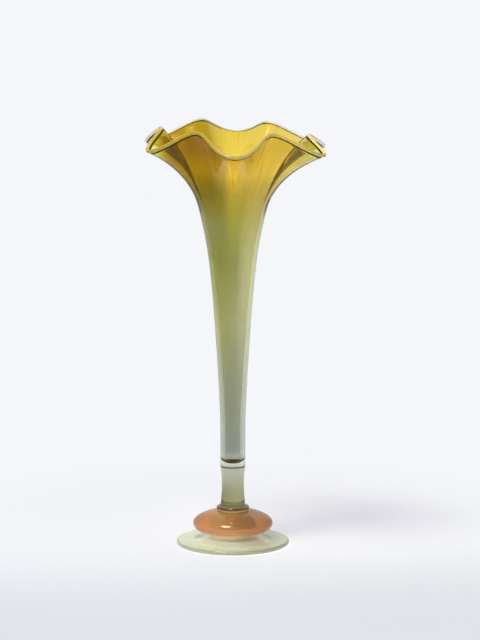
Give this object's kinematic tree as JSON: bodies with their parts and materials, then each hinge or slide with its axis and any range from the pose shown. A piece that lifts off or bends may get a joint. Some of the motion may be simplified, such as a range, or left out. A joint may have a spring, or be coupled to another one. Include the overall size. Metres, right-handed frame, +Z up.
{
  "type": "trumpet vase",
  "caption": "Tall glass trumpet vase with a ruffled amber bell, a slim green hollow stem, an orange-red ball knop and a round pale green foot.",
  "frame": {"origin": "centre of the foot, on the plane that the vase stands on", "axes": "+Z up along the stem; -Y towards the viewer of the picture, so a drooping lobe of the lip faces -Y; +X to the viewer's right"},
  "size_m": [0.1295, 0.1453, 0.3054],
  "materials": {
    "green_glass": "glossy, fire polished",
    "amber_glass": "glossy, fire polished",
    "lip_glass": "glossy, fire polished",
    "shank_glass": "glossy, fire polished",
    "merese_glass": "glossy, fire polished",
    "knop_glass": "glossy, fire polished",
    "foot_glass": "glossy above, ground ring below",
    "pontil_glass": "glossy, fire polished"
  },
  "bodies": {
    "root": {"green_casing": "green_glass", "amber_lining": "amber_glass", "lip_wrap": "lip_glass", "stem_shank": "shank_glass", "merese": "merese_glass", "ball_knop": "knop_glass", "foot_plate": "foot_glass", "pontil_button": "pontil_glass"}
  },
  "joints": []
}
